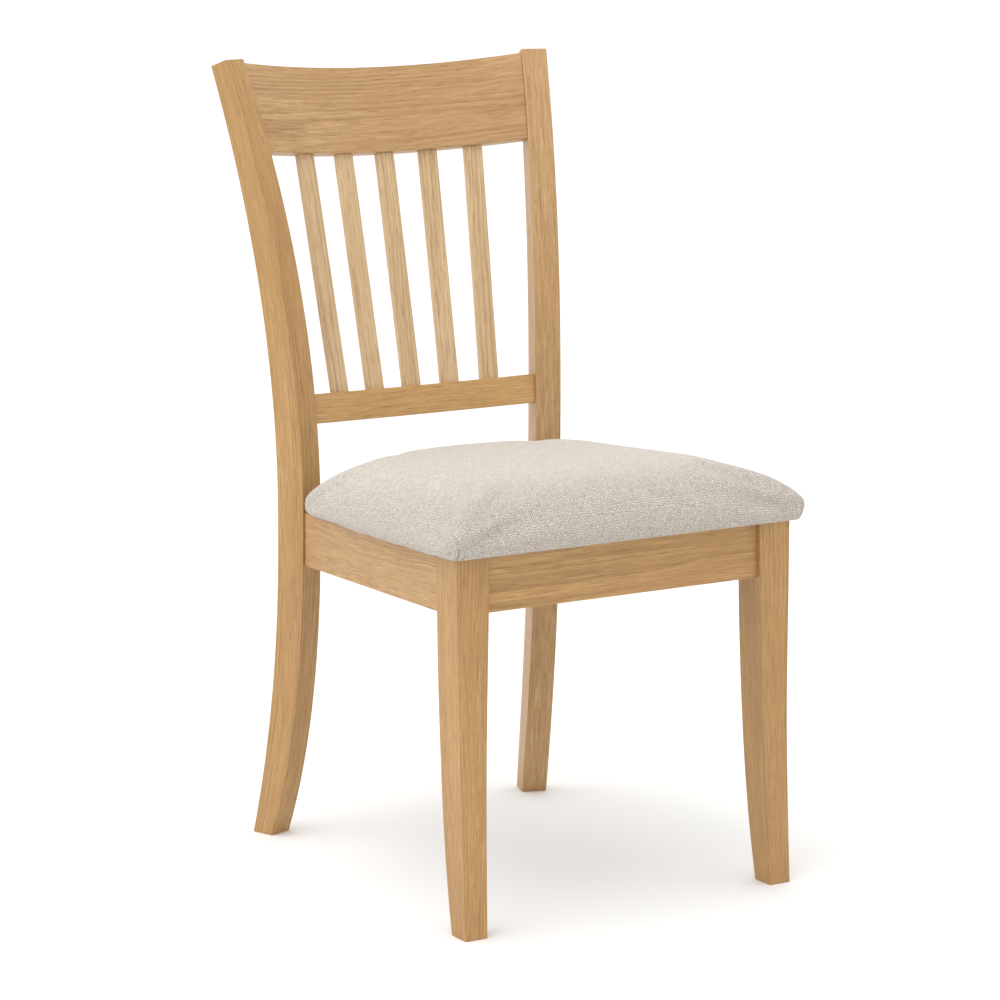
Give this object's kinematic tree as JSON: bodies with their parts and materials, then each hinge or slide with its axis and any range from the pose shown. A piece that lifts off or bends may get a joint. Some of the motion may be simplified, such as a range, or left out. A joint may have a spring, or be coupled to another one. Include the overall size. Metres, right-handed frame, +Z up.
{
  "type": "dining chair",
  "caption": "Slat-back dining chair: light oak frame with swept legs, raked bowed back and a crowned upholstered seat pad.",
  "frame": {"origin": "on the floor at the centre of the overall box, seen from above", "axes": "+Z up, the chair faces -Y, +X to the right seen from the front"},
  "size_m": [0.5012, 0.6342, 0.99],
  "materials": {
    "oak": "satin clear lacquer over light oak, fine straight grain",
    "beech": "bare planed beech",
    "plywood": "bare plywood",
    "foam": "open-cell foam, matt",
    "fabric": "coarse woven oatmeal cloth, matt",
    "lining": "thin black non-woven cloth",
    "steel": "zinc-plated"
  },
  "bodies": {
    "root": {"back_post_left": "oak", "back_post_right": "oak", "back_slat_1": "oak", "back_slat_2": "oak", "back_slat_3": "oak", "back_slat_4": "oak", "back_slat_5": "oak", "block_screw_front_left_cross": "steel", "block_screw_front_left_side": "steel", "block_screw_front_right_cross": "steel", "block_screw_front_right_side": "steel", "block_screw_rear_left_cross": "steel", "block_screw_rear_left_side": "steel", "block_screw_rear_right_cross": "steel", "block_screw_rear_right_side": "steel", "corner_block_front_left": "beech", "corner_block_front_right": "beech", "corner_block_rear_left": "beech", "corner_block_rear_right": "beech", "crest_rail": "oak", "dowel_front_rail_left_lower": "beech", "dowel_front_rail_left_upper": "beech", "dowel_front_rail_right_lower": "beech", "dowel_front_rail_right_upper": "beech", "dowel_rear_rail_left_lower": "beech", "dowel_rear_rail_left_upper": "beech", "dowel_rear_rail_right_lower": "beech", "dowel_rear_rail_right_upper": "beech", "dowel_side_rail_left_front_lower": "beech", "dowel_side_rail_left_front_upper": "beech", "dowel_side_rail_left_rear_lower": "beech", "dowel_side_rail_left_rear_upper": "beech", "dowel_side_rail_right_front_lower": "beech", "dowel_side_rail_right_front_upper": "beech", "dowel_side_rail_right_rear_lower": "beech", "dowel_side_rail_right_rear_upper": "beech", "dust_cover": "lining", "front_leg_left": "oak", "front_leg_right": "oak", "front_rail": "oak", "lower_back_rail": "oak", "rear_rail": "oak", "seat_board": "plywood", "seat_cover": "fabric", "seat_foam": "foam", "seat_screw_front_left": "steel", "seat_screw_front_right": "steel", "seat_screw_rear_left": "steel", "seat_screw_rear_right": "steel", "side_rail_left": "oak", "side_rail_right": "oak"}
  },
  "joints": []
}
